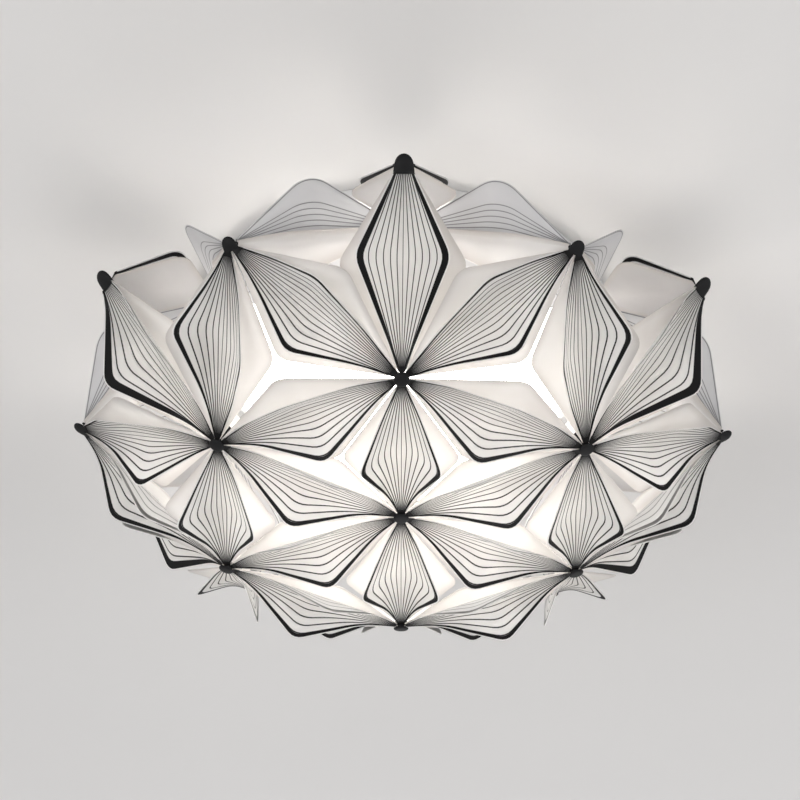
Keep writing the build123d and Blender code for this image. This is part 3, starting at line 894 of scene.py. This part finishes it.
def opal_plastic():
    """Smooth opal plastic that glows, most at its floor."""
    material, graph, shader, _ = fresh_material("opal plastic")
    clouds = soft_step(graph, speckle(graph, OPAL_GRAIN, 2.0), 0.3, 0.7)
    join(graph, between(graph, clouds, OPAL_PALE, OPAL_DUSK), shader.inputs["Base Color"])
    smooth, rough = OPAL_ROUGHNESS
    roughness = calc(graph, "MULTIPLY_ADD", clouds, rough - smooth, smooth)
    join(graph, roughness, shader.inputs["Roughness"])
    shader.inputs["Emission Color"].default_value = OPAL_LIGHT
    place = node(graph, "ShaderNodeTexCoord")
    split = node(graph, "ShaderNodeSeparateXYZ")
    graph.links.new(place.outputs["Object"], split.inputs[0])
    depth = calc(graph, "MULTIPLY", split.outputs["Z"], -1.0)
    floor_share = soft_step(graph, depth, *GLOW_BAND)
    glow = calc(graph, "MULTIPLY_ADD", floor_share, FLOOR_GLOW - WALL_GLOW, WALL_GLOW)
    join(graph, glow, shader.inputs["Emission Strength"])
    return material


FINISHES["opal_plastic"] = opal_plastic()
print("bowl glows", FLOOR_GLOW, "at the floor and", WALL_GLOW, "at the wall")

# %% [markdown]
# Every part that stays as it was packed takes the finish of its slot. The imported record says
# which slot each node has, so no part can be forgotten.

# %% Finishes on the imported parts
slots = {entry["node"]: entry["material_slot"] for entry in frame["record"]["subparts"]}
for name, piece in nodes.items():
    if slots[name] in FINISHES:
        piece.data.materials.clear()
        piece.data.materials.append(FINISHES[slots[name]])
print("finished CAD nodes:", sum(slot in FINISHES for slot in slots.values()))

# %% [markdown]
# The set is plain. A pale ceiling lies on the pan, so that the light is seen where it hangs and
# casts its soft shadow, and a pale floor lies far below. Both show only their room side: from
# the other side a camera looks through them. The ceiling has a hole under the pan, where light
# from above reaches the pan's back. Far from the light both sheets take the surround's own
# pale colour, but only for the camera, so no edge or horizon cuts through the picture.

# %% Ceiling and floor
SET_SIZE = 14.0
CEILING_HEIGHT = 0.0012
FLOOR_DEPTH = -6.0
CEILING_HOLE = 0.205
FLOOR_HOLE = 0.001
HOLE_TURNS = 64
FADE = (0.7, 3.0)
SURROUND = (0.80, 0.79, 0.78, 1)
CEILING_PAINT = (0.72, 0.71, 0.70, 1)
PAINT_GRAIN = 1.2
PAINT_SHADE = 0.97
PAINT_ROUGHNESS = 0.9


def seen_directly(graph):
    """1 for the camera's own rays and for what glossy or clear things show, 0 for light."""
    paths = node(graph, "ShaderNodeLightPath")
    mirrored = paths.outputs["Is Glossy Ray"]
    straight = calc(graph, "MAXIMUM", paths.outputs["Is Camera Ray"], mirrored)
    return calc(graph, "MAXIMUM", straight, paths.outputs["Is Transmission Ray"])


def stage_material(name, colour):
    """A matt colour that fades to the surround's and is clear from behind."""
    material, graph, shader, output = fresh_material(name)
    patches = soft_step(graph, speckle(graph, PAINT_GRAIN, 3.0), 0.3, 0.7)
    darker = tuple(PAINT_SHADE * part for part in colour)
    join(graph, between(graph, patches, colour, darker), shader.inputs["Base Color"])
    shader.inputs["Roughness"].default_value = PAINT_ROUGHNESS
    place = node(graph, "ShaderNodeTexCoord")
    far = node(graph, "ShaderNodeVectorMath", operation="LENGTH")
    graph.links.new(place.outputs["Object"], far.inputs[0])
    faded = soft_step(graph, far.outputs["Value"], *FADE)
    share = calc(graph, "MULTIPLY", faded, seen_directly(graph))
    haze = node(graph, "ShaderNodeEmission")
    haze.inputs["Color"].default_value = SURROUND
    see_through = node(graph, "ShaderNodeBsdfTransparent")
    side = node(graph, "ShaderNodeNewGeometry")
    surface = shader.outputs[0]
    for part, other in ((share, haze), (side.outputs["Backfacing"], see_through)):
        mix = node(graph, "ShaderNodeMixShader")
        graph.links.new(part, mix.inputs[0])
        graph.links.new(surface, mix.inputs[1])
        graph.links.new(other.outputs[0], mix.inputs[2])
        surface = mix.outputs[0]
    graph.links.new(surface, output.inputs["Surface"])
    return material


def stage_surface(name, height, facing, colour, hole):
    """A wide round sheet of the set with a hole, seen from one side only."""
    mesh = bmesh.new()
    turns = [2 * math.pi * step / HOLE_TURNS for step in range(HOLE_TURNS)]
    rings = []
    for radius in (hole, SET_SIZE / 2):
        spots = [(radius * math.cos(turn), radius * math.sin(turn), height) for turn in turns]
        rings.append([mesh.verts.new(spot) for spot in spots])
    inner, outer = rings
    for here in range(HOLE_TURNS):
        there = (here + 1) % HOLE_TURNS
        mesh.faces.new((inner[here], outer[here], outer[there], inner[there])[::facing])
    data = bpy.data.meshes.new(name)
    mesh.to_mesh(data)
    mesh.free()
    data.materials.append(stage_material(name, colour))
    piece = bpy.data.objects.new(name, data)
    bpy.context.scene.collection.objects.link(piece)
    piece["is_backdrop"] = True
    print(name, "at", height, "m")


stage_surface("ceiling", CEILING_HEIGHT, -1, CEILING_PAINT, CEILING_HOLE)
stage_surface("floor", FLOOR_DEPTH, 1, SURROUND, FLOOR_HOLE)

# %% [markdown]
# Soft light from four wide lamps and a pale surround shows the sheets at about their own colour.
# Smaller lamps would draw hard shadows of the petals on each other. The surround is brighter to
# the camera than it is as a light, so the background stays pale without washing out the petals.

# %% Lamps and surround
LAMPS = {
    "key": ((-2.4, -2.6, -2.6), 2.6, 76.0),
    "fill": ((2.8, -1.8, -1.8), 2.6, 40.0),
    "back": ((0.6, 2.8, -2.0), 2.6, 34.0),
    "over": ((0.0, 0.5, 3.0), 3.0, 40.0),
}
for name, (place, size, watts) in LAMPS.items():
    light = bpy.data.lights.new(name, "AREA")
    light.shape = "DISK"
    light.size = size
    light.energy = watts
    lamp = bpy.data.objects.new(name, light)
    lamp.location = place
    aim = Vector((0, 0, -HANG / 2 * MM)) - Vector(place)
    lamp.rotation_euler = aim.to_track_quat("-Z", "Y").to_euler()
    bpy.context.scene.collection.objects.link(lamp)

SKY_LIGHT = (0.44, 0.44, 0.45, 1)
world = bpy.data.worlds.new("surround")
bpy.context.scene.world = world
world.use_nodes = True
surround = world.node_tree
surround.nodes.clear()
sky = node(surround, "ShaderNodeBackground")
sky_colour = between(surround, seen_directly(surround), SKY_LIGHT, SURROUND)
join(surround, sky_colour, sky.inputs["Color"])
surround_out = node(surround, "ShaderNodeOutputWorld")
surround.links.new(sky.outputs[0], surround_out.inputs["Surface"])
print("lamps:", {name: watts for name, (_, _, watts) in LAMPS.items()})

# %% [markdown]
# Last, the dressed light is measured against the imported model: Blender may not make it larger.

# %% Compare the sizes and finish
dressed_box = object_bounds()
growth = [round((b - a) / MM, 2) for a, b in zip(cad_box[1], dressed_box[1])]
print("grows by", growth, "mm at the top")
